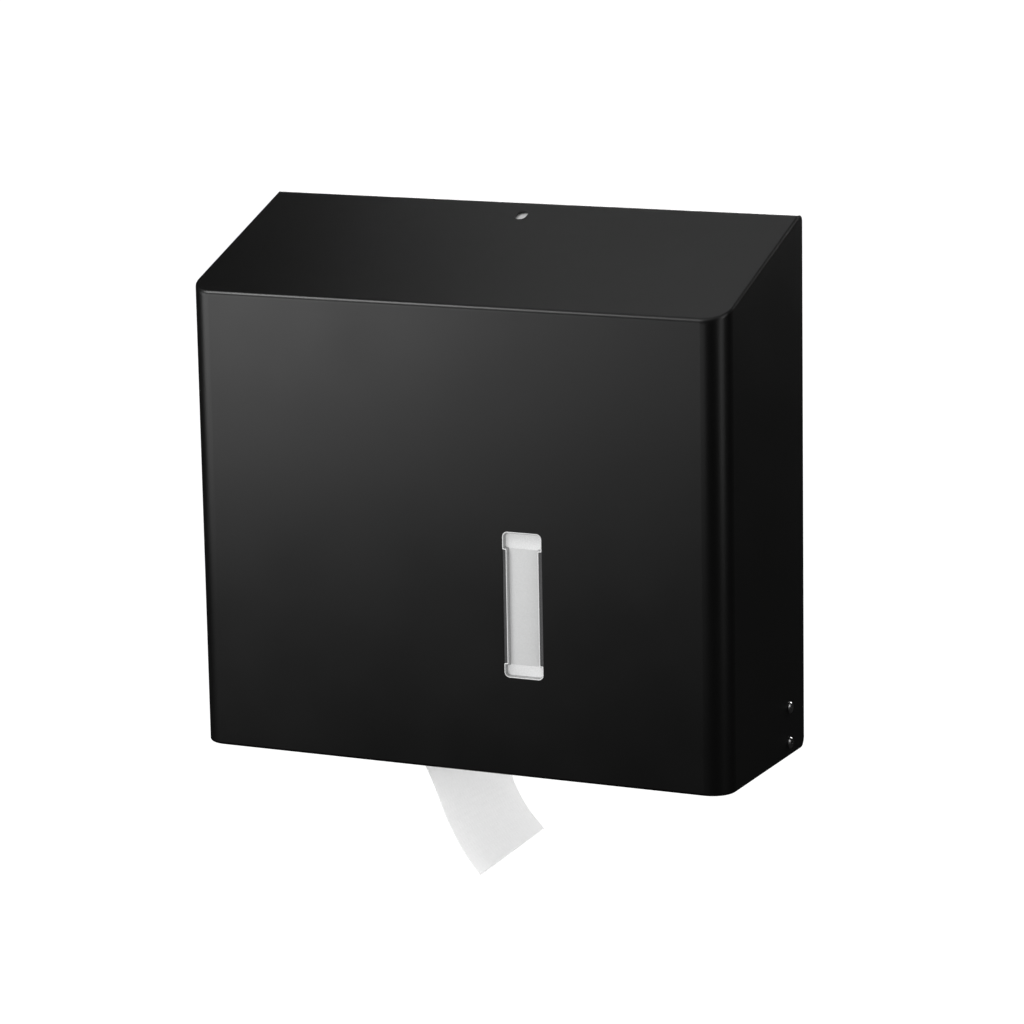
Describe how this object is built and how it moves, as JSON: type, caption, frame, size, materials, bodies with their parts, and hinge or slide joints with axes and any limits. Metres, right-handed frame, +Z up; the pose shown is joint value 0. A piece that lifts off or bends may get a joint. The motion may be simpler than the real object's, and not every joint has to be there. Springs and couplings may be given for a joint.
{
  "type": "toilet paper dispenser",
  "caption": "Wall-mounted jumbo roll dispenser: a black hood with a sloping top, hinged at its foot on a back plate, with a key latch, a window and a hub for the roll.",
  "frame": {"origin": "centre of the rectangle of wall screws, on the wall plane, which is also where the roll's axle meets the wall", "axes": "+X to the right as seen from the front, +Y into the wall, +Z up"},
  "size_m": [0.3, 0.107, 0.3368],
  "materials": {
    "hood_coating": "satin powder coat",
    "plate_coating": "satin powder coat",
    "plated_steel": "zinc plated",
    "stainless": "satin",
    "bright_steel": "turned",
    "rivet_steel": "dark nickel",
    "window_plastic": "milky clear",
    "foam_tape": "matte",
    "nylon": "matte",
    "hub_plastic": "moulded",
    "core_board": "spiral wound",
    "tissue": "soft"
  },
  "bodies": {
    "back": {"axle": "bright_steel", "axle_clip": "bright_steel", "axle_washer": "nylon", "back_plate": "plate_coating", "bracket_rivet_left_high": "bright_steel", "bracket_rivet_left_low": "bright_steel", "bracket_rivet_right_high": "bright_steel", "bracket_rivet_right_low": "bright_steel", "hinge_bracket_left": "plated_steel", "hinge_bracket_right": "plated_steel", "latch_bracket": "plated_steel", "latch_pin": "bright_steel", "latch_rivet_left": "bright_steel", "latch_rivet_middle": "bright_steel", "latch_rivet_right": "bright_steel", "latch_spring": "stainless", "paper_tail": "tissue"},
    "hood": {"hinge_pin_left": "rivet_steel", "hinge_pin_right": "rivet_steel", "hood_catch": "plated_steel", "hood_shell": "hood_coating", "pivot_washer_left": "nylon", "pivot_washer_right": "nylon", "stop_pin_left": "rivet_steel", "stop_pin_right": "rivet_steel", "stop_washer_left": "nylon", "stop_washer_right": "nylon", "window_gasket": "foam_tape", "window_insert": "window_plastic"},
    "latch": {"latch_lever": "stainless"},
    "roll": {"roll_hub": "hub_plastic", "roll_core": "core_board", "paper_roll": "tissue"}
  },
  "joints": [
    {"name": "hood_hinge", "type": "hinge", "parent": "back", "child": "hood", "pos_m": [0, -0.0204, -0.1159], "axis": [1, 0, 0], "range_deg": [0, 85], "deforming": ["paper_tail"]},
    {"name": "latch_hinge", "type": "hinge", "parent": "back", "child": "latch", "pos_m": [0, -0.00876, 0.14766], "axis": [1, 0, 0], "range_deg": [0, 10], "stiffness_Nm_per_rad": 0.3, "springref_deg": -11.46, "deforming": ["latch_spring"]},
    {"name": "roll_spin", "type": "hinge", "parent": "back", "child": "roll", "pos_m": [0, 0, 0], "axis": [0, 1, 0], "continuous": true}
  ]
}
